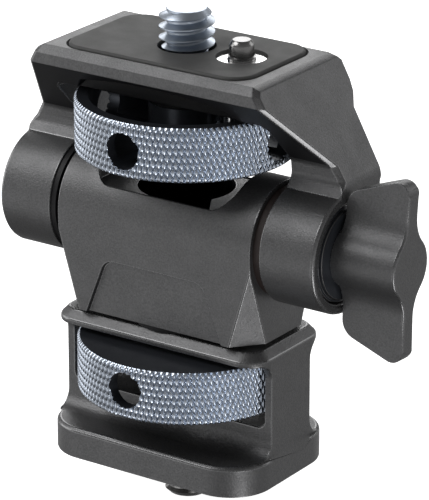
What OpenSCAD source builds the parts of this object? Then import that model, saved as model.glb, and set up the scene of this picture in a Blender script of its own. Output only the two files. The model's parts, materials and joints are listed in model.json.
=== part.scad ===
// Swivel-and-tilt bracket with two captive 1/4 in screws, two knurled
// thumbwheels, a sprung locating pin and a wing knob that clamps the tilt.
// Origin: swivel axis on the bottom face. +X runs along the tilt axis
// towards the knob, -Y is the front, +Z is up. Millimetres.

/* [Base] */
// Half of the base plate's width, along the tilt axis
base_half_x = 14.34; // [14.2:0.02:14.6]
// Half of the base plate's depth
base_half_y = 9.73; // [9.2:0.01:10.5]
// Corner radius of the base plate
base_corner_r = 5.3; // [4:0.1:5.5]
// Thickness of the base plate at its edge
plate_h = 3.7; // [3:0.1:4]
// Half of the depth of the web and side walls
web_half_y = 3.95; // [3.6:0.05:4.4]
// Floor of the lower wheel's slot
slot_floor = 7.1; // [6.8:0.05:7.2]
// Roof of the lower wheel's slot
slot_roof = 15.3; // [15.25:0.05:15.4]
// Half of the slot's width, inside the side walls
slot_half_x = 13.3; // [13.2:0.05:13.4]
// Top of the collar that carries the head
collar_top = 16.9; // [16.85:0.05:17]
// Half of the collar's depth
collar_half_y = 7.1; // [7:0.05:7.6]
// Corner radius of the collar
collar_corner_r = 2.9; // [2.5:0.1:3.2]

/* [Thumbwheels and screws] */
// Radius over the knurl
wheel_r = 12.8; // [12.6:0.05:12.9]
// Height of a wheel
wheel_h = 6.3; // [6:0.05:6.4]
// Wall thickness of a wheel's rim
rim_t = 1.64; // [1.4:0.02:1.8]
// Web thickness of a wheel
wheel_web_t = 1.5; // [1.2:0.1:1.8]
// Radius of a wheel's hub
hub_r = 4.4; // [4:0.1:4.5]
// Radius of the four tommy-bar holes in a rim
tommy_r = 2.15; // [1.9:0.05:2.3]
// Top of the lower wheel, at rest
lower_wheel_top = 14.63; // [14.5:0.01:14.65]
// Bottom of the upper wheel, at rest
upper_wheel_bottom = 37.25; // [37.2:0.01:37.3]
// Major radius of the 1/4 in screw threads
screw_r = 3.175; // [3.15:0.005:3.2]
// Radius of the plain neck behind each thread
neck_r = 2.45; // [2.4:0.01:2.5]
// How far the upper screw stands out of the plate
upper_screw_out = 4.7; // [4:0.1:5.5]
// How far the lower screw stands out of the base
lower_screw_out = 5.1; // [4:0.1:5.5]

/* [Tilt block] */
// Height of the tilt axis above the bottom face
tilt_z = 28.84; // [28.7:0.02:29]
// Radius of the block's barrel and of the yoke's bosses
boss_r = 6.96; // [6.8:0.02:7]
// Half of the block's length
block_half_x = 13.26; // [13.1:0.02:13.3]
// Bottom face of the block
block_bottom = 17.4; // [17.3:0.05:17.5]
// Floor of the flat pocket on top of the barrel
pocket_floor = 32.65; // [32.4:0.05:33]
// Radius of the well over the swivel bolt
well_r = 5.5; // [5.3:0.1:5.6]

/* [Yoke] */
// Top face of the yoke's plate
yoke_top = 48.96; // [48.9:0.02:49.1]
// Underside of the plate, over the upper wheel
yoke_ceiling = 43.9; // [43.85:0.05:44.1]
// Half of the flat top's length
yoke_top_half_x = 14.13; // [14:0.01:14.2]
// Front of the plate, as a distance from the swivel axis
yoke_front = 8.7; // [8.5:0.05:9]
// Back of the plate
yoke_back = 8.4; // [8.2:0.05:8.8]
// Outer end of the bosses
boss_end_x = 21.55; // [21.3:0.05:21.7]
// Inner face of the arms and bosses
arm_inner_x = 14.43; // [14.4:0.01:14.5]
// How far the rubber pad stands above the plate
pad_proud = 0.3; // [0.2:0.05:0.5]

/* [Knob and locating pin] */
// Outer face of the wing knob
knob_end_x = 29.85; // [29:0.1:31]
// Half span of the wings at the outer face
wing_half_span = 10.4; // [10:0.05:11]
// Half span of the wings next to the boss
wing_inner_half_span = 8.8; // [8:0.1:9.5]
// How far the wings sit below the knob's own axis
wing_drop = 0.6; // [0:0.1:0.8]
// Half thickness of a wing
wing_half_t = 1.05; // [0.9:0.05:1.3]
// Radius of the knob's hub
knob_hub_r = 3.6; // [3.3:0.05:3.8]
// Turn of the knob about its own axis, in degrees
knob_rest_turn = -2.8; // [-10:0.1:10]
// Distance of the locating pin from the screw
pin_x = 7.4; // [7.35:0.05:7.5]
// Radius of the locating pin's free end
pin_r = 1.4; // [1.35:0.05:1.45]
// How far the locating pin stands above the plate
pin_out = 2.25; // [2:0.05:2.4]

/* [Hidden] */
$fn = 96;

far = 40;                         // longer than any part, for cutters
screw_tip_chamfer = 0.9;
neck_clearance = 0.08;            // neck in its guide hole
pin_clearance = 0.05;             // pin in its barrel
recess_r = screw_r + 0.14;        // relief round each thread's foot

base_pad_t = 1.0;
base_pad_inset = 2.6;
thread_gap = 0.1;                 // plain neck between a face and the first thread
lower_recess_h = 1.3;
wheel_bottom_lower = lower_wheel_top - wheel_h;
upper_recess_floor = 47.6;

pocket_half_x = 9.4;
pocket_half_y = 5.72;             // leaves a low lip along the front and back
panel_depth = 0.45;               // blank panel on the front of the block
spigot_r = 3.8;                   // swivel journal on the collar
spigot_top = 20.4;
ledge_z = 20.6;                   // shelf of the well in the tilt block
bolt_r = 2.0;
bolt_head_r = 4.2;
thrust_top = ledge_z + 0.6;
disc_top = thrust_top + 1.0;
bolt_head_top = disc_top + 3.6;

journal_r = 3.0;                  // both tilt journals
bush_r = 3.9;
tap_r = 2.5;                      // M5 threads of the tilt screws
tap_inner_x = 6.5;
left_head_floor_x = 18.9;
left_head_r = 4.5;
right_recess_x = 19.95;
right_recess_r = 5.75;
clamp_washer_t = 1.6;
clamp_washer_r = 5.6;
knob_start_x = right_recess_x + clamp_washer_t;
wing_start_x = 21.85;             // inner end of the wings
insert_r = 3.0;
insert_end_x = 28.3;

slant_sum = 38.1;                 // front slope of the yoke: y + z is constant
slant_foot_y = -0.75;             // where the slope ends above the bosses
plate_edge = 0.88;                // chamfer along the front and back of the plate
corner_chamfer = 0.62;            // along the front corners of the arms
flare_top = [15.0, 48.5];        // outer plane of an arm, in (x, z)
flare_foot = [boss_end_x, 36.6];
pad_half_x = 12.45;
pad_half_y = 7.43;
pad_corner_r = 3.0;
pad_gap = 0.28;                   // groove between the top pad and its seat
pad_hole_r = 2.91;                // round the pin's barrel
pad_t = 1.0;
pad_floor = yoke_top + pad_proud - pad_t;
barrel_r = 2.4;
barrel_flange_r = 2.85;
barrel_bottom = 39.9;
retainer_t = 1.0;
pin_flange_r = 1.9;
pin_shank_r = 1.6;
pin_flange_z = 45.2;              // underside of the pin's flange
pin_flange_t = 0.8;
spring_wire_r = 0.17;
hub_top_gap = 0.55;               // hub stands below the rim, for its washer
hole_height = wheel_h / 2 - 0.2;  // of the tommy-bar and set-screw holes

alu_dark = [0.17, 0.17, 0.18];
knurl_silver = [0.62, 0.66, 0.72];
steel = [0.72, 0.76, 0.80];
stainless = [0.66, 0.66, 0.66];
brass_brown = [0.55, 0.42, 0.22];
rubber_grey = [0.22, 0.22, 0.22];
polymer_black = [0.06, 0.06, 0.06];
fibre_brown = [0.20, 0.12, 0.09];

// ---- shared shapes ----

// 2D rounded rectangle, centred, with true arcs
module rounded_rect(hx, hy, r) {
  square([2 * (hx - r), 2 * hy], center = true);
  square([2 * hx, 2 * (hy - r)], center = true);
  for (sx = [-1, 1], sy = [-1, 1]) translate([sx * (hx - r), sy * (hy - r)]) circle(r);
}

// Plate with rounded corners and a chamfer c round its top edge
module chamfered_plate(hx, hy, r, h, c) {
  for (side = [0, 1])
    rotate([0, 0, 90 * side]) {
      across = side == 0 ? hx : hy;
      along = side == 0 ? hy - r : hx - r;
      rotate([90, 0, 0]) translate([0, 0, -along]) linear_extrude(2 * along) polygon([
        [-across, 0], [across, 0], [across, h - c], [across - c, h], [c - across, h], [-across, h - c]
      ]);
    }
  for (sx = [-1, 1], sy = [-1, 1]) translate([sx * (hx - r), sy * (hy - r), 0]) {
    cylinder(r = r, h = h - c);
    translate([0, 0, h - c]) cylinder(r1 = r, r2 = r - c, h = c);
  }
}

// Quarter-round web between a floor (v = 0) and a wall (u = 0)
module fillet_2d(r) {
  difference() {
    square(r);
    translate([r, r]) circle(r);
  }
}

// Stand a shape drawn in (y, z) along the X axis, centred
module along_x(length) rotate([90, 0, 90]) linear_extrude(length, center = true) children();

// Stand a shape drawn in (x, z) along the Y axis, centred
module along_y(length) rotate([90, 0, 0]) linear_extrude(length, center = true) children();

// Cylinder on the tilt axis from x0 to x1
module axle(r, x0, x1) translate([x0, 0, tilt_z]) rotate([0, 90, 0]) cylinder(r = r, h = x1 - x0);

// Ring with a rectangular section, standing on z = 0
module ring(r_out, r_in, h) rotate_extrude() translate([r_in, 0]) square([r_out - r_in, h]);

// Hexagonal socket cutter
module hex_socket(across_flats, depth) cylinder(r = across_flats / sqrt(3), h = depth, $fn = 6);

// ---- base ----

module base_section() {
  translate([-web_half_y, 0]) square([2 * web_half_y, slot_roof + 0.2]);
  for (side = [0, 1]) mirror([side, 0]) {
    translate([web_half_y, plate_h]) fillet_2d(2.2);
    translate([web_half_y, slot_roof]) mirror([0, 1]) fillet_2d(2.0);
  }
}

// Seat of the rubber pad under the base
module base_pad_outline() {
  rounded_rect(base_half_x - base_pad_inset, base_half_y - base_pad_inset, base_corner_r - base_pad_inset);
}

module base_housing() {
  split_z = 10;
  color(alu_dark) difference() {
    union() {
      chamfered_plate(base_half_x, base_half_y, base_corner_r, plate_h, 0.35);
      intersection() {
        along_x(2 * base_half_x) base_section();
        union() {
          linear_extrude(split_z) rounded_rect(base_half_x, base_half_y, base_corner_r);
          translate([0, 0, split_z]) linear_extrude(collar_top - split_z)
            rounded_rect(base_half_x, collar_half_y, collar_corner_r);
        }
      }
      translate([0, 0, slot_roof])
        chamfered_plate(base_half_x, collar_half_y, collar_corner_r, collar_top - slot_roof, 1.0);
      cylinder(r = spigot_r, h = spigot_top);
    }
    // slot for the wheel
    translate([0, 0, (slot_floor + slot_roof) / 2]) along_y(far)
      rounded_rect(slot_half_x, (slot_roof - slot_floor) / 2, 1.0);
    // guide hole of the screw, with a relief at the thread's foot
    translate([0, 0, -1]) cylinder(r = neck_r + neck_clearance, h = slot_floor + 2);
    translate([0, 0, -1]) cylinder(r = recess_r, h = lower_recess_h + 1);
    translate([0, 0, -1]) linear_extrude(base_pad_t + 1) base_pad_outline();
    // tapped hole of the swivel bolt
    translate([0, 0, slot_roof - 1]) cylinder(r = bolt_r, h = far);
  }
}

module base_pad() {
  color(rubber_grey) difference() {
    linear_extrude(base_pad_t) base_pad_outline();
    translate([0, 0, -1]) cylinder(r = recess_r, h = base_pad_t + 2);
  }
}

// ---- thumbwheels and their screws ----

// Wheel with its web on z = 0 and its cup open upwards
module wheel() {
  hub_top = wheel_h - hub_top_gap;
  edge = 0.35;
  color(knurl_silver) difference() {
    rotate_extrude() polygon([
      [neck_r, 0], [wheel_r - edge, 0], [wheel_r, edge], [wheel_r, wheel_h - edge],
      [wheel_r - edge, wheel_h], [wheel_r - rim_t, wheel_h],
      [wheel_r - rim_t, wheel_web_t], [hub_r, wheel_web_t],
      [hub_r, hub_top], [neck_r, hub_top]
    ]);
    for (turn = [0:90:270]) rotate([0, 0, turn]) translate([hub_r + 2, 0, hole_height]) rotate([0, 90, 0])
      cylinder(r = tommy_r, h = far);
    for (turn = [0, 180]) rotate([0, 0, turn]) translate([neck_r - 1, 0, hole_height]) rotate([0, 90, 0])
      cylinder(r = 1.0, h = hub_r - neck_r + 2);
  }
}

// Two grub screws in a wheel's hub
module set_screws() {
  color(steel) for (turn = [0, 180]) rotate([0, 0, turn])
    translate([neck_r, 0, hole_height]) rotate([0, 90, 0]) difference() {
      cylinder(r = 1.0, h = hub_r - neck_r - 0.1);
      translate([0, 0, 0.9]) hex_socket(0.9, 2);
    }
}

// Screw standing on its neck's end, with a thread from thread_start to the chamfered tip
module screw(neck_end, thread_start, tip) {
  chamfer_start = tip - screw_tip_chamfer;
  tip_r = screw_r - screw_tip_chamfer;
  color(steel) {
    translate([0, 0, neck_end]) cylinder(r = neck_r, h = thread_start + 0.5 - neck_end);
    translate([0, 0, thread_start]) cylinder(r = screw_r, h = chamfer_start - thread_start);
    translate([0, 0, chamfer_start]) cylinder(r1 = screw_r, r2 = tip_r, h = screw_tip_chamfer);
  }
}

module thrust_washer() color(polymer_black) ring(hub_r - 0.2, neck_r + 0.1, hub_top_gap);

module lower_screw() mirror([0, 0, 1]) screw(0.3 - lower_wheel_top, thread_gap, lower_screw_out);
module lower_wheel() translate([0, 0, lower_wheel_top]) mirror([0, 0, 1]) wheel();
module lower_set_screws() translate([0, 0, lower_wheel_top]) mirror([0, 0, 1]) set_screws();
module lower_thrust_washer() translate([0, 0, wheel_bottom_lower]) thrust_washer();

module upper_screw() {
  screw(upper_wheel_bottom, yoke_top + pad_proud + thread_gap, yoke_top + upper_screw_out);
}
module upper_wheel() translate([0, 0, upper_wheel_bottom]) wheel();
module upper_set_screws() translate([0, 0, upper_wheel_bottom]) set_screws();
module upper_thrust_washer() translate([0, 0, upper_wheel_bottom + wheel_h - hub_top_gap]) thrust_washer();

// ---- swivel ----

module swivel_bolt() {
  color(steel) difference() {
    union() {
      translate([0, 0, slot_roof + 0.3]) cylinder(r = bolt_r, h = disc_top - slot_roof);
      translate([0, 0, disc_top]) cylinder(r = bolt_head_r, h = bolt_head_top - disc_top - 0.4);
      translate([0, 0, bolt_head_top - 0.4]) cylinder(r1 = bolt_head_r, r2 = bolt_head_r - 0.4, h = 0.4);
    }
    translate([0, 0, bolt_head_top - 2.2]) hex_socket(4, 5);
  }
}

module swivel_disc_spring() {
  color(stainless) translate([0, 0, thrust_top])
    rotate_extrude() polygon([[bolt_r + 0.15, 0.5], [5.0, 0], [5.0, 0.5], [bolt_r + 0.15, 1.0]]);
}

module swivel_thrust_washer() {
  color(brass_brown) translate([0, 0, ledge_z]) ring(well_r - 0.15, bolt_r + 0.2, 0.6);
}

module swivel_friction_ring() {
  color(polymer_black) translate([0, 0, collar_top]) ring(6.5, spigot_r + 0.2, block_bottom - collar_top);
}

// ---- tilt block ----

// Half-space beyond the plane through point p with normal n
module half_space(p, n) {
  translate(p) rotate([0, acos(n[2] / norm(n)), atan2(n[1], n[0])])
    translate([-far, -far, 0]) cube([2 * far, 2 * far, far]);
}

module tilt_block() {
  // each lower corner is cut by a plane that runs out near the tilt axis
  foot = [10.4, -boss_r, block_bottom];
  side = [block_half_x, -3.6, block_bottom];
  apex = [block_half_x, -boss_r, 27.0];
  corner_normal = cross(side - foot, apex - foot);
  color(alu_dark) difference() {
    union() {
      axle(boss_r, -block_half_x, block_half_x);
      translate([-block_half_x, -boss_r, block_bottom])
        cube([2 * block_half_x, 2 * boss_r, tilt_z - block_bottom]);
    }
    for (mx = [0, 1], my = [0, 1]) mirror([mx, 0, 0]) mirror([0, my, 0]) half_space(foot, corner_normal);
    translate([0, 0, pocket_floor]) linear_extrude(far) rounded_rect(pocket_half_x, pocket_half_y, 2.5);
    translate([0, 0, ledge_z]) cylinder(r = well_r, h = far);
    translate([0, 0, block_bottom - 1]) cylinder(r = spigot_r + 0.06, h = far);
    axle(tap_r, tap_inner_x - 2, far);
    axle(tap_r, -far, 2 - tap_inner_x);
    // shallow name panel on the front, left blank
    translate([0, -boss_r, 0]) along_y(2 * panel_depth) panel_outline();
  }
}

// Outline of the blank panel in (x, z): a trapezium with rounded upper corners
module panel_outline() {
  corner_r = 1.6;
  hull() {
    for (side = [-1, 1]) translate([side * 5.55, 24.15 - corner_r]) circle(corner_r, $fn = 32);
    translate([0, block_bottom - 1]) square([19.3, 0.1], center = true);
  }
}

module left_pivot_screw() {
  head_x = 0.35 - boss_end_x;
  color(steel) difference() {
    union() {
      axle(tap_r, -block_half_x, -tap_inner_x);
      axle(journal_r, -left_head_floor_x - 0.1, -block_half_x);
      axle(left_head_r, head_x, -left_head_floor_x - 0.1);
    }
    translate([head_x - 1, 0, tilt_z]) rotate([0, 90, 0]) hex_socket(4, 2.6);
  }
}

module left_bush() color(brass_brown) difference() {
  axle(bush_r, -left_head_floor_x, -arm_inner_x);
  axle(journal_r + 0.05, -far, far);
}

module left_friction_washer() color(polymer_black) difference() {
  rim_x = -block_half_x - 0.47;  // the wide rim stops short of the block
  union() {
    axle(6.75, -arm_inner_x, rim_x);
    axle(6.0, rim_x - 0.1, -block_half_x);
  }
  axle(journal_r + 0.1, -far, far);
}

module right_bush() color(brass_brown) difference() {
  axle(bush_r, arm_inner_x, right_recess_x);
  axle(journal_r + 0.05, -far, far);
}

module right_friction_washer() color(fibre_brown) difference() {
  axle(6.45, block_half_x, arm_inner_x);
  axle(journal_r + 0.1, -far, far);
}

module clamp_stud() color(steel) {
  axle(tap_r, tap_inner_x, 27.4);
  axle(journal_r, block_half_x, right_recess_x - 0.3);
}

// ---- knob ----

module clamp_washer() color(stainless) difference() {
  union() {
    axle(clamp_washer_r, right_recess_x, knob_start_x - 0.4);
    axle(clamp_washer_r - 0.4, right_recess_x, knob_start_x);
  }
  axle(tap_r + 0.1, -far, far);
}

module knob_insert() color(steel) difference() {
  axle(insert_r, knob_start_x, insert_end_x);
  axle(tap_r + 0.05, -far, far);
}

// Outline of the knob in (y, z): two wings with concave blends into a hub
module knob_outline(half_span, half_t, hub) {
  blend_r = 4.2;
  blend_y = half_t + blend_r;
  blend_z = sqrt(pow(hub + blend_r, 2) - pow(blend_y, 2));
  tangent = hub / (hub + blend_r);
  hub_y = blend_y * tangent;
  hub_z = blend_z * tangent;
  difference() {
    union() {
      circle(hub);
      square([2 * half_t, 2 * half_span + 2], center = true);
      polygon([
        [-half_t, blend_z], [half_t, blend_z], [hub_y, hub_z], [hub_y, -hub_z],
        [half_t, -blend_z], [-half_t, -blend_z], [-hub_y, -hub_z], [-hub_y, hub_z]
      ]);
    }
    for (sy = [-1, 1], sz = [-1, 1]) translate([sy * blend_y, sz * blend_z]) circle(blend_r);
  }
}

// Side view of the wings in (x, z): wider towards the outer face, with round corners
module wing_side_view() {
  inner_r = 2.2;
  outer_r = 1.5;
  hull() for (side = [-1, 1]) {
    translate([wing_start_x + inner_r, side * (wing_inner_half_span - inner_r)]) circle(inner_r, $fn = 32);
    translate([knob_end_x - outer_r, side * (wing_half_span - outer_r)]) circle(outer_r, $fn = 32);
  }
}

module tilt_knob() {
  color(alu_dark) difference() {
    translate([0, 0, tilt_z]) rotate([knob_rest_turn, 0, 0]) union() {
      intersection() {
        translate([wing_start_x, 0, 0]) rotate([90, 0, 90]) linear_extrude(knob_end_x - wing_start_x)
          knob_outline(wing_half_span, wing_half_t, knob_hub_r);
        translate([0, 0, -wing_drop]) along_y(far) wing_side_view();
      }
      translate([knob_start_x, 0, 0]) rotate([0, 90, 0])
        cylinder(r = knob_hub_r, h = wing_start_x - knob_start_x + 1);
    }
    axle(insert_r, knob_start_x - 1, insert_end_x);
  }
}

// ---- yoke ----

// Points of an arc of radius r that rounds the corner p on the way from a to b
function rounded_corner(a, p, b, r, steps = 5) =
  let (
    u = (a - p) / norm(a - p),
    v = (b - p) / norm(b - p),
    half = acos(u * v) / 2,
    centre = p + (u + v) / norm(u + v) * r / sin(half),
    from = p + u * r / tan(half) - centre,
    side = sign(cross(from, p + v * r / tan(half) - centre)),
    start = atan2(from[1], from[0])
  )
  [for (i = [0:steps])
    let (turn = start + side * (180 - 2 * half) * i / steps)
    centre + r * [cos(turn), sin(turn)]];

// Outline seen along Y, as (x, z): the plate and both flared arms
module yoke_front_view() {
  boss_centre = [boss_end_x, tilt_z];
  difference() {
    for (side = [0, 1]) mirror([side, 0]) polygon(concat(
      [[-0.1, tilt_z], [-0.1, yoke_top], [yoke_top_half_x, yoke_top], flare_top],
      rounded_corner(flare_top, flare_foot, boss_centre, 3), [boss_centre]
    ));
    polygon([
      [-arm_inner_x, tilt_z - 1], [-arm_inner_x, yoke_ceiling - 0.8], [-arm_inner_x + 0.8, yoke_ceiling],
      [arm_inner_x - 0.8, yoke_ceiling], [arm_inner_x, yoke_ceiling - 0.8], [arm_inner_x, tilt_z - 1]
    ]);
  }
}

// Outline seen along X, as (y, z): upright back, front cut away at 45 degrees
module yoke_side_view() {
  waist_y = 7.05;
  slant_foot = [slant_foot_y, slant_sum - slant_foot_y];
  shoulder = [-0.5, 37.0];
  boss_meet = [-1.6, tilt_z + boss_r - 0.25];
  slope_start = [-yoke_front, slant_sum + yoke_front];
  polygon(concat(
    [[plate_edge - yoke_front, yoke_top], [-yoke_front, yoke_top - plate_edge], slope_start],
    rounded_corner(slope_start, slant_foot, shoulder, 1.2),
    rounded_corner(slant_foot, shoulder, boss_meet, 1.5),
    [boss_meet, [0, tilt_z], [6.0, tilt_z + 1], [6.3, 32.4], [6.9, 35.0], [waist_y, 37.0], [waist_y, 43.4],
     [yoke_back - 0.3, 44.8], [yoke_back, 46.0], [yoke_back, yoke_top - plate_edge],
     [yoke_back - plate_edge, yoke_top]]
  ));
}

// Point of the chamfer along an arm's front corner, where the front is at y
function corner_point(y, z, chamfer) =
  let (flare = (flare_foot[0] - flare_top[0]) / (flare_top[1] - flare_foot[1]))
  [(flare_top[0] + (flare_top[1] - z) * flare - y - chamfer) / sqrt(2), z];

// Outline seen level along the diagonal, as (distance, z), which chamfers one front corner
module yoke_corner_view() {
  slope_top = slant_sum + yoke_front;
  polygon([
    [-far, 0], [far, 0], [far, 34], corner_point(-1.6, 35.4, 0), corner_point(-0.5, 37.2, 0.5),
    corner_point(slant_foot_y, slant_sum - slant_foot_y, corner_chamfer),
    corner_point(-yoke_front, slope_top, corner_chamfer),
    corner_point(-yoke_front, yoke_top - plate_edge, corner_chamfer),
    corner_point(plate_edge - yoke_front, yoke_top, corner_chamfer), [-far, yoke_top]
  ]);
}

module corner_prism() rotate([0, 0, -45]) along_y(4 * far) yoke_corner_view();

// Finger relief over the wheel, seen along Y
module relief_outline() {
  intersection() {
    polygon([
      [-11.2, 42], [-11.2, 43.7], [-9.4, 45.5], [-6, 47], [6, 47], [9.4, 45.5], [11.2, 43.7], [11.2, 42]
    ]);
    translate([0, 46.4 - 45]) circle(45, $fn = 200);
  }
}

module yoke() {
  color(alu_dark) difference() {
    union() {
      intersection() {
        along_y(far) yoke_front_view();
        along_x(2 * far) yoke_side_view();
        corner_prism();
        mirror([1, 0, 0]) corner_prism();
      }
      axle(boss_r, -boss_end_x, -arm_inner_x);
      axle(boss_r, arm_inner_x, boss_end_x);
    }
    translate([0, -far / 2 - 5.6, 0]) along_y(far) relief_outline();
    // bores of the tilt journals
    axle(bush_r, -far, far);
    axle(4.8, -far, -left_head_floor_x);
    axle(right_recess_r, right_recess_x, far);
    // guide hole and relief of the upper screw
    translate([0, 0, yoke_ceiling - 1]) cylinder(r = neck_r + neck_clearance, h = far);
    translate([0, 0, upper_recess_floor]) cylinder(r = recess_r, h = far);
    // seat of the rubber pad, and hole of the pin's barrel
    translate([0, 0, pad_floor]) linear_extrude(far)
      rounded_rect(pad_half_x + pad_gap, pad_half_y + pad_gap, pad_corner_r + pad_gap);
    translate([pin_x, 0, yoke_ceiling - 1]) cylinder(r = barrel_r, h = far);
    translate([pin_x, 0, pad_floor - 0.5]) cylinder(r = barrel_flange_r, h = far);
  }
}

module top_pad() {
  color(rubber_grey) difference() {
    translate([0, 0, pad_floor]) chamfered_plate(pad_half_x, pad_half_y, pad_corner_r, pad_t, 0.2);
    translate([0, 0, pad_floor - 1]) cylinder(r = recess_r, h = pad_t + 2);
    translate([pin_x, 0, pad_floor - 1]) cylinder(r = pad_hole_r, h = pad_t + 2);
  }
}

// ---- locating pin ----

module pin_barrel() {
  flange_top = yoke_top - 0.02;
  translate([pin_x, 0, 0]) color(stainless) difference() {
    union() {
      translate([0, 0, barrel_bottom]) cylinder(r = barrel_r, h = flange_top - barrel_bottom);
      translate([0, 0, pad_floor - 0.5]) cylinder(r = barrel_flange_r, h = flange_top - pad_floor + 0.5);
    }
    translate([0, 0, barrel_bottom - 1])
      cylinder(r = pin_flange_r + 0.06, h = pin_flange_z + pin_flange_t - barrel_bottom + 1);
    translate([0, 0, barrel_bottom]) cylinder(r = pin_shank_r + pin_clearance, h = far);
  }
}

module locating_pin() {
  top = yoke_top + pin_out;
  shoulder_z = yoke_top + 0.4;
  taper_h = 0.5;
  tip_r = 1.05;
  translate([pin_x, 0, 0]) color(stainless) rotate_extrude() polygon([
    [0, pin_flange_z], [pin_flange_r, pin_flange_z], [pin_flange_r, pin_flange_z + pin_flange_t],
    [pin_shank_r, pin_flange_z + pin_flange_t], [pin_shank_r, shoulder_z - 0.1],
    [pin_r, shoulder_z], [pin_r, top - taper_h], [tip_r, top], [0, top]
  ]);
}

module pin_spring() {
  coils = 5;
  low = barrel_bottom + retainer_t;
  pitch = (pin_flange_z - low - 2 * spring_wire_r) / (coils - 1);
  color(steel) for (i = [0:coils - 1])
    translate([pin_x, 0, low + spring_wire_r + i * pitch])
      rotate_extrude() translate([pin_flange_r - 0.35, 0]) circle(spring_wire_r, $fn = 16);
}

module pin_retainer() {
  color(stainless) translate([pin_x, 0, barrel_bottom]) ring(pin_flange_r + 0.06, 0.6, retainer_t);
}

base_housing();
base_pad();
lower_screw();
lower_wheel();
lower_set_screws();
lower_thrust_washer();
swivel_bolt();
swivel_disc_spring();
swivel_thrust_washer();
swivel_friction_ring();
tilt_block();
left_pivot_screw();
left_bush();
left_friction_washer();
right_bush();
right_friction_washer();
clamp_stud();
clamp_washer();
tilt_knob();
knob_insert();
yoke();
top_pad();
upper_screw();
upper_wheel();
upper_set_screws();
upper_thrust_washer();
pin_barrel();
locating_pin();
pin_spring();
pin_retainer();
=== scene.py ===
import json
from math import atan2, cos, pi, radians, sin

import bmesh
import bpy
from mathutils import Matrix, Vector

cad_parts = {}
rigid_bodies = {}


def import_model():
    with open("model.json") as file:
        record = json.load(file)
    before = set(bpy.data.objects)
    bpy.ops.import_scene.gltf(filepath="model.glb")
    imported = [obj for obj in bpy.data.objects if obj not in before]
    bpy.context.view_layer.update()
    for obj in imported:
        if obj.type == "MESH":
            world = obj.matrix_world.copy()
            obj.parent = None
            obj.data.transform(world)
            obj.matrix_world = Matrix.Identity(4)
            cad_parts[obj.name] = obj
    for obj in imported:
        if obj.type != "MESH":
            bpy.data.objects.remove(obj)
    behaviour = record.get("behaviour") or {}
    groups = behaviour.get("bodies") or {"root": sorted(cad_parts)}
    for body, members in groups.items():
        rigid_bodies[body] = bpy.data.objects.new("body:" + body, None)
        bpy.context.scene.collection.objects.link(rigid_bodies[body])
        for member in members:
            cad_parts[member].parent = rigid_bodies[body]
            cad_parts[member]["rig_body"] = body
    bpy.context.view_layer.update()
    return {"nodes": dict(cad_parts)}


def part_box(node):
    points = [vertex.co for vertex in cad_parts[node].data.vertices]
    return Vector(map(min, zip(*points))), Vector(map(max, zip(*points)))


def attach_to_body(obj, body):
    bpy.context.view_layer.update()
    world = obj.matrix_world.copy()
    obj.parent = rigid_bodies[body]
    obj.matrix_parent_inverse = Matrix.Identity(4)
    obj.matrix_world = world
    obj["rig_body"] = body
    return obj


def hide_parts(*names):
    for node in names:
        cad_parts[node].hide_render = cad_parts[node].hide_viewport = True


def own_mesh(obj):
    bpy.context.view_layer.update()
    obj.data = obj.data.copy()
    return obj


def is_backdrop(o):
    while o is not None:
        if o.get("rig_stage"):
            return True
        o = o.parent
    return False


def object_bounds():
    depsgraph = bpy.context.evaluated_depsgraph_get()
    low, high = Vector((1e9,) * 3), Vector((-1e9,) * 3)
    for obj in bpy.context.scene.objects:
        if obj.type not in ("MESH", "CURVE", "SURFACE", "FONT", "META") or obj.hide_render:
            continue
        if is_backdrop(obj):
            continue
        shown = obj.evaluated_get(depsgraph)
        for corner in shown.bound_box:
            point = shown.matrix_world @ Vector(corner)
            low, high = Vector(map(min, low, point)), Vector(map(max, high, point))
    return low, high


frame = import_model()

MM = 0.001

# Camera: telephoto, from the front right and above
VIEW_AZIMUTH = radians(34.473)
VIEW_ELEVATION = radians(20.618)
VIEW_DISTANCE = 409.74
VIEW_TARGET = Vector((3.738, 0.0, 25.514))
LENS = 259.57

# Thumbwheel knurl: diamonds in one turn, and the size of each
KNURL_AROUND = 121
KNURL_CELL_HEIGHT = 1.64
KNURL_DEPTH = 0.36
KNURL_SLOT = 1

# 1/4 in screw thread, 20 turns to the inch
THREAD_PITCH = 1.27
THREAD_ROOT_R = 2.27
THREAD_CREST_R = 3.175
UPPER_THREAD_PHASE = 0.17         # turns
LOWER_THREAD_PHASE = 0.0
UPPER_THREAD_FOOT = 0.35          # depth of the first turn under the yoke's top
LOWER_THREAD_FOOT = 0.7           # and over the base's underside

# Material slots of a bevelled piece, the third for painted shade
PLAIN, BEVELLED, SHADE_PAINT_SLOT = 0, 1, 2


# ---- materials ----


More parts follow.
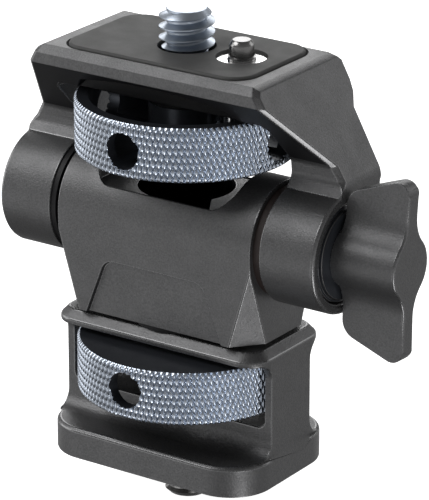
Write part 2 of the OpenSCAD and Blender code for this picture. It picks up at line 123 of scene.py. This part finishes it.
class Finish:
    """A Principled material with a few helpers for wiring its nodes."""

    def __init__(self, name, color, metallic, roughness):
        self.material = bpy.data.materials.new(name)
        self.material.use_nodes = True
        self.tree = self.material.node_tree
        self.shader = self.tree.nodes["Principled BSDF"]
        self.shader.inputs["Base Color"].default_value = (*color, 1)
        self.shader.inputs["Metallic"].default_value = metallic
        self.shader.inputs["Roughness"].default_value = roughness
        self.color = color
        self.coordinates = self.tree.nodes.new("ShaderNodeTexCoord").outputs["Object"]

    def noise(self, size_mm, detail=2.0, roughness=0.5, stretch=(1, 1, 1)):
        """Noise whose features are about size_mm across."""
        mapping = self.tree.nodes.new("ShaderNodeMapping")
        mapping.inputs["Scale"].default_value = stretch
        self.tree.links.new(self.coordinates, mapping.inputs["Vector"])
        node = self.tree.nodes.new("ShaderNodeTexNoise")
        node.inputs["Scale"].default_value = 1 / (size_mm * MM)
        node.inputs["Detail"].default_value = detail
        node.inputs["Roughness"].default_value = roughness
        self.tree.links.new(mapping.outputs["Vector"], node.inputs["Vector"])
        return node.outputs["Fac"]

    def span(self, value, low, high, start=0.3, end=0.7):
        """value from start..end, mapped to low..high."""
        node = self.tree.nodes.new("ShaderNodeMapRange")
        node.inputs["From Min"].default_value = start
        node.inputs["From Max"].default_value = end
        node.inputs["To Min"].default_value = low
        node.inputs["To Max"].default_value = high
        self.tree.links.new(value, node.inputs["Value"])
        return node.outputs["Result"]

    def vary_color(self, value, darker, lighter):
        """Multiplies the base colour by darker..lighter as value goes from low to high."""
        ramp = self.tree.nodes.new("ShaderNodeValToRGB")
        ramp.color_ramp.elements[0].position = 0.3
        ramp.color_ramp.elements[1].position = 0.7
        ramp.color_ramp.elements[0].color = (*[c * darker for c in self.color], 1)
        ramp.color_ramp.elements[1].color = (*[c * lighter for c in self.color], 1)
        self.tree.links.new(value, ramp.inputs["Fac"])
        self.tree.links.new(ramp.outputs["Color"], self.shader.inputs["Base Color"])

    def vary_roughness(self, value, low, high):
        self.tree.links.new(self.span(value, low, high), self.shader.inputs["Roughness"])

    def bump(self, value, height_mm, strength=1.0):
        node = self.tree.nodes.new("ShaderNodeBump")
        node.inputs["Strength"].default_value = strength
        node.inputs["Distance"].default_value = height_mm * MM
        self.tree.links.new(value, node.inputs["Height"])
        self.tree.links.new(node.outputs["Normal"], self.shader.inputs["Normal"])


def blasted_anodised():
    finish = Finish("blasted_anodised_grey", (0.105, 0.105, 0.107), 0.70, 0.40)
    grain = finish.noise(0.20, detail=3.0, roughness=0.6)
    finish.vary_color(grain, 0.80, 1.20)
    finish.vary_roughness(finish.noise(3.0), 0.36, 0.44)
    finish.bump(grain, 0.06, 0.7)
    return finish.material


def chamfered_anodised():
    finish = Finish("machined_anodised_edge", (0.17, 0.17, 0.173), 0.85, 0.28)
    marks = finish.noise(0.25, detail=2.0)
    finish.vary_color(marks, 0.88, 1.12)
    finish.vary_roughness(marks, 0.22, 0.32)
    return finish.material


def black_anodised():
    finish = Finish("smooth_anodised_black", (0.060, 0.066, 0.078), 0.7, 0.34)
    turning = finish.noise(0.12, detail=2.0)
    finish.vary_color(turning, 0.9, 1.1)
    finish.vary_roughness(finish.noise(1.5), 0.30, 0.38)
    finish.bump(turning, 0.003, 0.2)
    return finish.material


def bare_knurl():
    finish = Finish("bare_knurled_metal", (0.52, 0.57, 0.65), 1.0, 0.18)
    cut = finish.noise(0.2, detail=2.0)
    finish.vary_color(cut, 0.78, 1.18)
    finish.vary_roughness(cut, 0.18, 0.30)
    return finish.material


def screw_steel():
    finish = Finish("zinc_plated_steel", (0.47, 0.52, 0.59), 1.0, 0.34)
    film = finish.noise(1.2, detail=2.0)
    finish.vary_color(film, 0.95, 1.04)
    finish.vary_roughness(film, 0.31, 0.38)
    finish.bump(finish.noise(0.15), 0.001, 0.15)
    return finish.material


def stainless():
    finish = Finish("turned_stainless", (0.25, 0.247, 0.245), 1.0, 0.22)
    lines = finish.noise(1.0, detail=2.0, stretch=(1, 1, 20))
    finish.vary_color(lines, 0.95, 1.04)
    finish.vary_roughness(lines, 0.18, 0.28)
    return finish.material


def polished_steel():
    finish = Finish("polished_steel", (0.86, 0.86, 0.86), 1.0, 0.12)
    finish.vary_roughness(finish.noise(0.5), 0.08, 0.16)
    return finish.material


def bronze():
    finish = Finish("sintered_bronze", (0.36, 0.25, 0.12), 1.0, 0.42)
    pores = finish.noise(0.12, detail=3.0)
    finish.vary_color(pores, 0.7, 1.15)
    finish.bump(pores, 0.01, 0.5)
    return finish.material


def grey_rubber():
    finish = Finish("grey_rubber", (0.082, 0.082, 0.081), 0.0, 0.62)
    finish.shader.inputs["Specular IOR Level"].default_value = 0.25
    skin = finish.noise(0.22, detail=3.0)
    finish.vary_color(skin, 0.94, 1.06)
    finish.vary_roughness(finish.noise(2.0), 0.56, 0.66)
    finish.bump(skin, 0.005, 0.35)
    return finish.material


def black_polymer_with_painted_shade():
    # the acetal's own black, made darker still as painted shade so the swivel friction ring reads as the dark
    # gap it sits in
    finish = Finish("black_acetal_with_painted_shade", (0.008, 0.008, 0.009), 0.0, 0.45)
    finish.shader.inputs["Specular IOR Level"].default_value = 0.2
    skin = finish.noise(0.3)
    finish.vary_color(skin, 0.9, 1.1)
    finish.bump(skin, 0.004, 0.3)
    return finish.material


def painted_shade_anodised():
    """Painted shade: a near-black anodised colour for the surfaces deep under the plate, where hardly any light
    arrives.
    """
    finish = Finish("painted_shade_anodised", (0.008, 0.008, 0.009), 0.0, 0.5)
    finish.shader.inputs["Specular IOR Level"].default_value = 0.2
    grain = finish.noise(0.3)
    finish.vary_color(grain, 0.85, 1.15)
    finish.bump(grain, 0.01, 0.4)
    return finish.material


def brown_fibre():
    finish = Finish("brown_fibre", (0.018, 0.009, 0.007), 0.0, 0.6)
    fibre = finish.noise(0.15, detail=4.0, stretch=(3, 1, 1))
    finish.vary_color(fibre, 0.7, 1.25)
    finish.bump(fibre, 0.01, 0.5)
    return finish.material


def seamless_paper():
    """White paper, lit through from below."""
    finish = Finish("seamless_paper", (0.93, 0.93, 0.93), 0.0, 0.9)
    finish.vary_color(finish.noise(40.0), 0.995, 1.005)
    finish.shader.inputs["Emission Color"].default_value = (1, 1, 1, 1)
    finish.shader.inputs["Emission Strength"].default_value = 0.9
    return finish.material


GREY = blasted_anodised()
EDGE = chamfered_anodised()
BLACK = black_anodised()
KNURL = bare_knurl()
STEEL = screw_steel()
STAINLESS = stainless()
POLISHED = polished_steel()
BRONZE = bronze()
RUBBER = grey_rubber()
POLYMER_WITH_SHADE = black_polymer_with_painted_shade()
PAINTED_SHADE = painted_shade_anodised()
FIBRE = brown_fibre()


# ---- mesh helpers ----


def link(name, mesh, *materials):
    piece = bpy.data.objects.new(name, mesh)
    bpy.context.scene.collection.objects.link(piece)
    for material in materials:
        piece.data.materials.append(material)
    return piece


def from_bmesh(name, bm, *materials):
    """A piece in metres from a bmesh in millimetres."""
    bmesh.ops.recalc_face_normals(bm, faces=bm.faces)
    bmesh.ops.scale(bm, vec=(MM, MM, MM), verts=bm.verts)
    mesh = bpy.data.meshes.new(name)
    bm.to_mesh(mesh)
    bm.free()
    return link(name, mesh, *materials)


def smooth(piece, angle=32.0):
    """Smooth shading with sharp edges kept, and normals weighted by face size."""
    piece.data.shade_smooth()
    piece.data.set_sharp_from_angle(angle=radians(angle))
    weighted = piece.modifiers.new("normals", "WEIGHTED_NORMAL")
    weighted.keep_sharp = True
    weighted.weight = 60


def attach(piece, node):
    """piece stands for the CAD node, on its body."""
    body = frame["nodes"][node]["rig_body"]
    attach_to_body(piece, body)
    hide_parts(node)


def cad_bmesh(node):
    """The CAD node's shape in millimetres, with its flat faces whole again."""
    bm = bmesh.new()
    bm.from_mesh(frame["nodes"][node].data)
    bmesh.ops.scale(bm, vec=(1 / MM, 1 / MM, 1 / MM), verts=bm.verts)
    bmesh.ops.remove_doubles(bm, verts=bm.verts, dist=0.002)
    bmesh.ops.dissolve_limit(bm, angle_limit=radians(0.8), verts=bm.verts, edges=bm.edges)
    for face in bm.faces:
        face.material_index = 0
    return bm


def sharp_edges(bm, angle=24.0, where=None):
    """Edges that bend more than angle, and for which where(edge) holds."""
    found = []
    for edge in bm.edges:
        if len(edge.link_faces) != 2 or edge.calc_face_angle() < radians(angle):
            continue
        if where is None or where(edge):
            found.append(edge)
    return found


def bevel(bm, edges, width, segments=2, material=BEVELLED):
    bmesh.ops.bevel(
        bm, geom=edges, offset=width, offset_type="OFFSET", segments=segments, profile=0.5,
        affect="EDGES", clamp_overlap=False, material=material, loop_slide=True,
    )
    bmesh.ops.remove_doubles(bm, verts=bm.verts, dist=0.001)


def lathe(name, outline, center, steps, *materials):
    """Turns an (r, z) outline, from axis to axis, about a vertical axis through center."""
    bm = bmesh.new()
    rings = []
    for r, z in outline:
        if r == 0:
            rings.append([bm.verts.new((center[0], center[1], z))])
            continue
        ring = [(center[0] + r * cos(2 * pi * i / steps), center[1] + r * sin(2 * pi * i / steps), z)
                for i in range(steps)]
        rings.append([bm.verts.new(point) for point in ring])
    for a, b in zip(rings, rings[1:]):
        for i in range(steps):
            j = (i + 1) % steps
            corners = [a[i % len(a)], a[j % len(a)], b[j % len(b)], b[i % len(b)]]
            corners = [v for k, v in enumerate(corners) if v not in corners[:k]]
            if len(corners) > 2:
                bm.faces.new(corners)
    return from_bmesh(name, bm, *materials)


def carve(piece, tool, operation="DIFFERENCE"):
    """Applies a boolean with tool, which is then removed."""
    modifier = piece.modifiers.new("cut", "BOOLEAN")
    modifier.object = tool
    modifier.operation = operation
    modifier.solver = "EXACT"
    modifier.material_mode = "TRANSFER"
    bpy.context.view_layer.update()
    result = bpy.data.meshes.new_from_object(piece.evaluated_get(bpy.context.evaluated_depsgraph_get()))
    piece.modifiers.remove(modifier)
    piece.data = result
    bpy.data.objects.remove(tool)


# ---- bevelled housings ----


def base_housing():
    bm = cad_bmesh("base_housing")
    bevel(bm, sharp_edges(bm), 0.15)
    piece = from_bmesh("base_housing_finished", bm, GREY, EDGE)
    smooth(piece)
    attach(piece, "base_housing")


def tilt_block():
    """The edges round its underside stay crisp."""
    bm = cad_bmesh("tilt_block")
    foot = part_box("tilt_block")[0].z / MM + 0.05

    def over_foot(edge):
        return any(v.co.z >= foot for v in edge.verts)

    bevel(bm, sharp_edges(bm, where=over_foot), 0.14)
    piece = from_bmesh("tilt_block_finished", bm, GREY, EDGE)
    smooth(piece)
    attach(piece, "tilt_block")


def yoke():
    """GREY with EDGE corner chamfers, and painted shade: nearly black under the plate and behind the relief
    over the wheel.
    """
    bm = cad_bmesh("yoke")
    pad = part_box("top_pad")[1] / MM
    wheel_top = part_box("upper_wheel")[1].z / MM
    arm_inner = abs(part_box("left_friction_washer")[0].x / MM)
    top_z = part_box("yoke")[1].z / MM
    left_end, right_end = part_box("yoke")[0].x / MM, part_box("yoke")[1].x / MM
    plate_foot = wheel_top + 2.5
    recess_depth = 1.2
    recess_gap = 0.35
    relief_back_y = -5.8
    near = 0.01

    def in_plate(edge):
        return all(v.co.z > plate_foot for v in edge.verts)

    def on_plate_side(edge):
        """All of the plate's edges but the ones in its top plane and in the pad's recess."""
        middle = (edge.verts[0].co + edge.verts[1].co) / 2
        under_pad = abs(middle.x) < pad.x + recess_gap and abs(middle.y) < pad.y + recess_gap
        in_recess = under_pad and middle.z > top_z - recess_depth
        return in_plate(edge) and middle.z < top_z - near and not in_recess

    def on_boss_end(edge):
        at_an_end = all(v.co.x > right_end - near or v.co.x < left_end + near for v in edge.verts)
        return at_an_end and not in_plate(edge)

    def on_rest(edge):
        return not on_boss_end(edge) and not in_plate(edge)

    bevel(bm, sharp_edges(bm, where=on_plate_side), 0.12, material=PLAIN)
    bevel(bm, sharp_edges(bm, where=on_boss_end), 0.42, segments=3)
    bevel(bm, sharp_edges(bm, 32, on_rest), 0.12)
    for face in bm.faces:
        center = face.calc_center_median()
        normal = face.normal
        diagonal = normal.y < 0 and abs(normal.x) > 0.3 and abs(abs(normal.x) - abs(normal.y)) < 0.03
        if diagonal and abs(center.x) > pad.x + 1.0:
            face.material_index = BEVELLED
        over_wheel = wheel_top + 0.2 < center.z < pad.z - recess_depth
        between_arms = abs(center.x) < arm_inner and center.y < pad.y
        faces_down = normal.z < -0.3
        is_relief_wall = normal.y < -0.9 and center.y > relief_back_y
        # painted shade: faces under the plate and the relief's back wall over the wheel take the near-black
        # material
        if over_wheel and between_arms and (faces_down or is_relief_wall):
            face.material_index = SHADE_PAINT_SLOT
    piece = from_bmesh("yoke_finished", bm, GREY, EDGE, PAINTED_SHADE)
    smooth(piece)
    attach(piece, "yoke")


def tilt_knob():
    """The outer end is rounded more than the rest."""
    bm = cad_bmesh("tilt_knob")
    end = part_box("tilt_knob")[1].x / MM
    end_radius = 0.3

    def on_end(edge):
        return all(v.co.x > end - 0.01 for v in edge.verts)

    def on_rest(edge):
        return any(v.co.x <= end - end_radius - 0.1 for v in edge.verts)

    bevel(bm, sharp_edges(bm, where=on_end), end_radius, segments=4)
    bevel(bm, sharp_edges(bm, 32, on_rest), 0.12)
    piece = from_bmesh("tilt_knob_finished", bm, GREY, EDGE)
    smooth(piece)
    attach(piece, "tilt_knob")


def top_pad():
    bm = cad_bmesh("top_pad")
    bevel(bm, sharp_edges(bm, 20), 0.1, material=PLAIN)
    piece = from_bmesh("top_pad_finished", bm, RUBBER)
    smooth(piece)
    attach(piece, "top_pad")


# ---- knurled wheels ----


def knurl_tool(node):
    """A ring round the wheel whose inner wall is the diamond knurl."""
    low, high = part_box(node)
    radius = high.x / MM
    outer = radius + 1.0
    half = KNURL_CELL_HEIGHT / 2
    rows = int((high.z - low.z) / MM / half) + 4
    start = (low.z + high.z) / MM / 2 - rows * half / 2
    step = pi / KNURL_AROUND
    columns = 2 * KNURL_AROUND
    root = radius - KNURL_DEPTH
    crest = radius - 0.02
    # each diamond's cap: its height, and its share of the diamond's width
    shoulder = radius - 0.09
    cap = 0.5
    bm = bmesh.new()

    def point(column, row, r):
        return bm.verts.new((r * cos(column * step), r * sin(column * step), start + row * half))

    corners = {}
    for row in range(rows + 1):
        for column in range(columns):
            if (column + row) % 2 == 0:
                corners[column, row] = point(column, row, root)

    # one diamond round each (column, row) that isn't a corner
    for row in range(rows + 1):
        for column in range(columns):
            if (column + row) % 2 == 0:
                continue
            left = corners[(column - 1) % columns, row]
            right = corners[(column + 1) % columns, row]
            middle = point(column, row, crest)
            cap_left = point(column - cap, row, shoulder)
            cap_right = point(column + cap, row, shoulder)
            for side in (1, -1):
                if not 0 <= row + side <= rows:
                    continue
                peak = corners[column, row + side]
                cap_peak = point(column, row + side * cap, shoulder)
                bm.faces.new((left, cap_left, cap_peak, peak))
                bm.faces.new((right, cap_right, cap_peak, peak))
                bm.faces.new((cap_left, middle, cap_peak))
                bm.faces.new((cap_right, middle, cap_peak))
    bmesh.ops.remove_doubles(bm, verts=bm.verts, dist=1e-5)

    # close the ring with an outer wall and two flat ends
    rims = []
    for row in (0, rows):
        z = start + row * half
        inner = sorted(
            (v for v in bm.verts if abs(v.co.z - z) < 1e-4 and any(e.is_boundary for e in v.link_edges)),
            key=lambda v: (round(angle_of(v), 5)),
        )
        wall = [bm.verts.new((outer * cos(angle_of(v)), outer * sin(angle_of(v)), z)) for v in inner]
        rims.append(wall)
        for i in range(len(inner)):
            j = (i + 1) % len(inner)
            bm.faces.new((inner[i], inner[j], wall[j], wall[i]))
    if len(rims[0]) == len(rims[1]):
        bottom = [e for e in bm.edges if e.is_boundary and e.verts[0].co.z < start + 0.01]
        top = [e for e in bm.edges if e.is_boundary and e.verts[0].co.z > start + 0.01]
        bmesh.ops.bridge_loops(bm, edges=bottom + top)
    return from_bmesh(node + "_knurl_tool", bm, KNURL)


def angle_of(vertex):
    return atan2(vertex.co.y, vertex.co.x) % (2 * pi)


def smooth_knurl(piece):
    """Rounds the knurl's diamonds, and keeps the edges of the holes and the rims crisp."""
    bm = bmesh.new()
    bm.from_mesh(piece.data)
    for face in bm.faces:
        face.smooth = True
    for edge in bm.edges:
        on_knurl = all(face.material_index == KNURL_SLOT for face in edge.link_faces)
        edge.smooth = edge.calc_face_angle(0) < radians(66 if on_knurl else 28)
    bm.to_mesh(piece.data)
    bm.free()


def wheel(node):
    """Black inside, bare metal on the knurl and on both rims' chamfers."""
    bm = cad_bmesh(node)
    rim_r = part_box(node)[1].x / MM - 0.4
    for face in bm.faces:
        on_rim = all(v.co.xy.length > rim_r for v in face.verts)
        face.material_index = KNURL_SLOT if on_rim else PLAIN
    piece = from_bmesh(node + "_knurled", bm, BLACK, KNURL)
    carve(piece, knurl_tool(node))
    smooth_knurl(piece)
    attach(piece, node)


# ---- screws ----


def threaded_rod(name, low, high, phase, finish):
    """A helical thread round the Z axis, longer than low..high at both ends."""
    steps = 72
    crest_half = 0.05
    flank = 0.36
    profile = [
        (0.0, THREAD_ROOT_R), (0.5 - flank - crest_half, THREAD_ROOT_R), (0.5 - crest_half, THREAD_CREST_R),
        (0.5 + crest_half, THREAD_CREST_R), (0.5 + flank + crest_half, THREAD_ROOT_R),
    ]
    turns = int((high - low) / THREAD_PITCH) + 5
    start = low + (phase - 2) * THREAD_PITCH
    count = turns * len(profile)
    bm = bmesh.new()
    columns = []
    for i in range(steps + 1):
        angle = 2 * pi * i / steps
        column = []
        for k in range(count):
            along, r = profile[k % len(profile)]
            z = start + (k // len(profile) + along + i / steps) * THREAD_PITCH
            column.append(bm.verts.new((r * cos(angle), r * sin(angle), z)))
        columns.append(column)
    for here, there in zip(columns, columns[1:]):
        for k in range(count - 1):
            bm.faces.new((here[k], there[k], there[k + 1], here[k + 1]))
    bmesh.ops.remove_doubles(bm, verts=bm.verts, dist=1e-4)
    for end in (-1, 1):
        border = [e for e in bm.edges if e.is_boundary and (e.verts[0].co.z - (low + high) / 2) * end > 0]
        hub = bm.verts.new((0, 0, (low + high) / 2 + end * ((high - low) / 2 + 3 * THREAD_PITCH)))
        for edge in border:
            bm.faces.new((*edge.verts, hub))
    return from_bmesh(name, bm, finish)


def screw(node, tip, foot, neck_end, phase, finish):
    """A screw from neck_end, threaded from foot to its chamfered tip. Heights are along Z."""
    up = 1 if tip > foot else -1
    tip_chamfer = 0.9
    crest_r = THREAD_CREST_R - 0.02
    neck_r = 2.43
    neck_taper = 0.2
    overlap = 0.1
    blank = [
        (0, foot), (THREAD_ROOT_R, foot), (crest_r, foot + up * (crest_r - THREAD_ROOT_R)),
        (crest_r, tip - up * tip_chamfer), (crest_r - tip_chamfer, tip), (0, tip),
    ]
    piece = lathe(node + "_threaded", blank, (0, 0), 96, finish)
    carve(piece, threaded_rod(node + "_thread", min(tip, foot), max(tip, foot), phase, finish), "INTERSECT")
    neck = [
        (0, neck_end), (neck_r, neck_end), (neck_r, foot - up * neck_taper),
        (THREAD_ROOT_R, foot + up * overlap), (0, foot + up * overlap),
    ]
    carve(piece, lathe(node + "_neck", neck, (0, 0), 96, finish), "UNION")
    smooth(piece, 30)
    attach(piece, node)


def screws():
    low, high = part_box("upper_screw")
    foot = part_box("yoke")[1].z / MM - UPPER_THREAD_FOOT
    screw("upper_screw", high.z / MM, foot, low.z / MM, UPPER_THREAD_PHASE, STEEL)
    low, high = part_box("lower_screw")
    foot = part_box("base_housing")[0].z / MM + LOWER_THREAD_FOOT
    # the lower screw is the same steel as the upper one; its darker stainless finish is painted shade under the
    # base
    screw("lower_screw", low.z / MM, foot, high.z / MM, LOWER_THREAD_PHASE, STAINLESS)


# ---- turned parts ----


def clamp_washer():
    bm = cad_bmesh("clamp_washer")
    bevel(bm, sharp_edges(bm), 0.1)
    piece = from_bmesh("clamp_washer_turned", bm, BLACK, STAINLESS)
    smooth(piece)
    attach(piece, "clamp_washer")


def locating_pin():
    """Turned, with the flange, shank, shoulder and tapered tip of the CAD pin and its edges broken."""
    low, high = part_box("locating_pin")
    low, high = low / MM, high / MM
    top = high.z
    flange_r = (high.x - low.x) / 2 - 0.01
    flange_top = low.z + 0.8
    shank_r, pin_r, tip_r = 1.6, 1.4, 1.05
    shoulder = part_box("yoke")[1].z / MM + 0.4
    taper = 0.6
    outline = [
        (0, low.z), (flange_r, low.z), (flange_r, flange_top), (shank_r, flange_top), (shank_r, shoulder - 0.1),
        (pin_r, shoulder), (pin_r, top - taper), (pin_r - 0.04, top - 0.44),
        (tip_r + 0.05, top - 0.07), (tip_r - 0.05, top), (0, top),
    ]
    piece = lathe("locating_pin_turned", outline, ((low.x + high.x) / 2, 0), 64, STAINLESS)
    smooth(piece)
    attach(piece, "locating_pin")


def pin_spring():
    """A coil spring with closed ends."""
    low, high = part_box("pin_spring")
    wire_r = 0.17
    radius = (high.x - low.x) / 2 / MM - wire_r
    center_x = (low.x + high.x) / 2 / MM
    turns, steps, sides = 6, 28, 10
    closed = 2.05 * wire_r         # rise of each closed end turn
    pitch = ((high.z - low.z) / MM - 2 * wire_r - 2 * closed) / (turns - 2)
    bm = bmesh.new()
    rings = []
    for i in range(turns * steps + 1):
        turn = i / steps
        angle = 2 * pi * turn
        open_turns = min(max(turn - 1, 0), turns - 2)
        z = low.z / MM + wire_r + open_turns * pitch + (turn - open_turns) * closed
        ring = []
        for k in range(sides):
            around = 2 * pi * k / sides
            r = radius + wire_r * cos(around)
            ring.append(bm.verts.new((center_x + r * cos(angle), r * sin(angle), z + wire_r * sin(around))))
        rings.append(ring)
    for a, b in zip(rings, rings[1:]):
        for k in range(sides):
            bm.faces.new((a[k], a[(k + 1) % sides], b[(k + 1) % sides], b[k]))
    bm.faces.new(rings[0])
    bm.faces.new(rings[-1])
    piece = from_bmesh("pin_spring_coil", bm, STEEL)
    smooth(piece, 50)
    attach(piece, "pin_spring")
    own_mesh(piece)


# ---- carried-over nodes ----


def finish_cad_nodes():
    """Looks of the CAD nodes that no piece stands for."""
    finishes = {
        STEEL: [
            "lower_set_screws", "upper_set_screws", "swivel_bolt", "left_pivot_screw", "clamp_stud",
            "knob_insert",
        ],
        STAINLESS: ["swivel_disc_spring", "pin_retainer"],
        POLISHED: ["pin_barrel"],
        BRONZE: ["swivel_thrust_washer", "left_bush", "right_bush"],
        RUBBER: ["base_pad"],
        # near-black, partly the polymer's own black and partly painted shade
        POLYMER_WITH_SHADE: [
            "lower_thrust_washer", "upper_thrust_washer", "swivel_friction_ring", "left_friction_washer",
        ],
        FIBRE: ["right_friction_washer"],
    }
    for material, nodes in finishes.items():
        for node in nodes:
            for slot in frame["nodes"][node].material_slots:
                slot.material = material


# ---- stage ----


def floor():
    """White to the camera, and no part of the lighting."""
    low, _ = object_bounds()
    half_side = 2.5
    bm = bmesh.new()
    bmesh.ops.create_grid(bm, x_segments=8, y_segments=8, size=half_side / MM)
    bmesh.ops.translate(bm, vec=(0, 0, low[2] / MM), verts=bm.verts)
    piece = from_bmesh("floor", bm, seamless_paper())
    piece.visible_diffuse = False
    piece.visible_glossy = False
    piece.visible_shadow = False
    piece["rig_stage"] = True


def softbox(name, direction, distance, size, radiance, target=(0.0, 0.0, 25.0)):
    """An area light in that direction from the object, facing it. radiance is per steradian."""
    data = bpy.data.lights.new(name, "AREA")
    data.shape = "RECTANGLE"
    data.size, data.size_y = size
    data.energy = radiance * size[0] * size[1] * pi
    light = bpy.data.objects.new(name, data)
    bpy.context.scene.collection.objects.link(light)
    toward = Vector(direction).normalized()
    light.location = Vector(target) * MM + toward * distance
    light.rotation_euler = toward.to_track_quat("Z", "Y").to_euler()


def studio():
    """Seven softboxes in a grey surround that is darkest below."""
    world = bpy.data.worlds.new("studio")
    bpy.context.scene.world = world
    world.use_nodes = True
    tree = world.node_tree
    background = tree.nodes["Background"]
    direction = tree.nodes.new("ShaderNodeSeparateXYZ")
    tree.links.new(tree.nodes.new("ShaderNodeTexCoord").outputs["Generated"], direction.inputs["Vector"])
    height = tree.nodes.new("ShaderNodeMapRange")
    height.inputs["From Min"].default_value = -1
    tree.links.new(direction.outputs["Z"], height.inputs["Value"])
    ramp = tree.nodes.new("ShaderNodeValToRGB")
    # grey of the surround, from straight down at 0 to straight up at 1
    steps = {0.0: 0.05, 0.12: 0.18, 0.3: 0.5, 0.45: 0.55, 0.6: 0.32, 1.0: 0.15}
    while len(ramp.color_ramp.elements) < len(steps):
        ramp.color_ramp.elements.new(0.5)
    for element, (position, grey) in zip(ramp.color_ramp.elements, steps.items()):
        element.position = position
        element.color = (grey, grey, grey, 1)
    tree.links.new(height.outputs["Result"], ramp.inputs["Fac"])
    tree.links.new(ramp.outputs["Color"], background.inputs["Color"])
    softbox("key_top_left", (-0.53, -0.45, 0.72), 0.55, (0.36, 0.26), 4.0)
    softbox("left", (-0.93, -0.30, 0.20), 0.60, (0.45, 0.40), 2.0)
    softbox("back_left", (-0.53, 0.77, 0.42), 0.60, (0.50, 0.25), 2.6)
    softbox("back_right", (0.50, 0.77, 0.34), 0.60, (0.36, 0.34), 1.2)
    softbox("right_strip", (0.77, -0.52, -0.34), 0.60, (0.12, 0.20), 2.5)
    softbox("front_low", (-0.53, -0.77, -0.35), 0.60, (0.40, 0.30), 0.7)
    softbox("low_right", (0.70, -0.32, -0.64), 0.50, (0.14, 0.26), 5.0)


def camera():
    data = bpy.data.cameras.new("camera")
    data.sensor_width = 36
    data.lens = LENS
    data.clip_start = 0.01
    view = bpy.data.objects.new("camera", data)
    bpy.context.scene.collection.objects.link(view)
    away = Vector((
        sin(VIEW_AZIMUTH) * cos(VIEW_ELEVATION), -cos(VIEW_AZIMUTH) * cos(VIEW_ELEVATION), sin(VIEW_ELEVATION)
    ))
    view.location = (VIEW_TARGET + away * VIEW_DISTANCE) * MM
    view.rotation_euler = away.to_track_quat("Z", "Y").to_euler()
    bpy.context.scene.camera = view


camera()
finish_cad_nodes()
base_housing()
tilt_block()
yoke()
tilt_knob()
top_pad()
wheel("lower_wheel")
wheel("upper_wheel")
screws()
clamp_washer()
locating_pin()
pin_spring()
floor()
studio()
bpy.context.scene.view_settings.view_transform = "Standard"
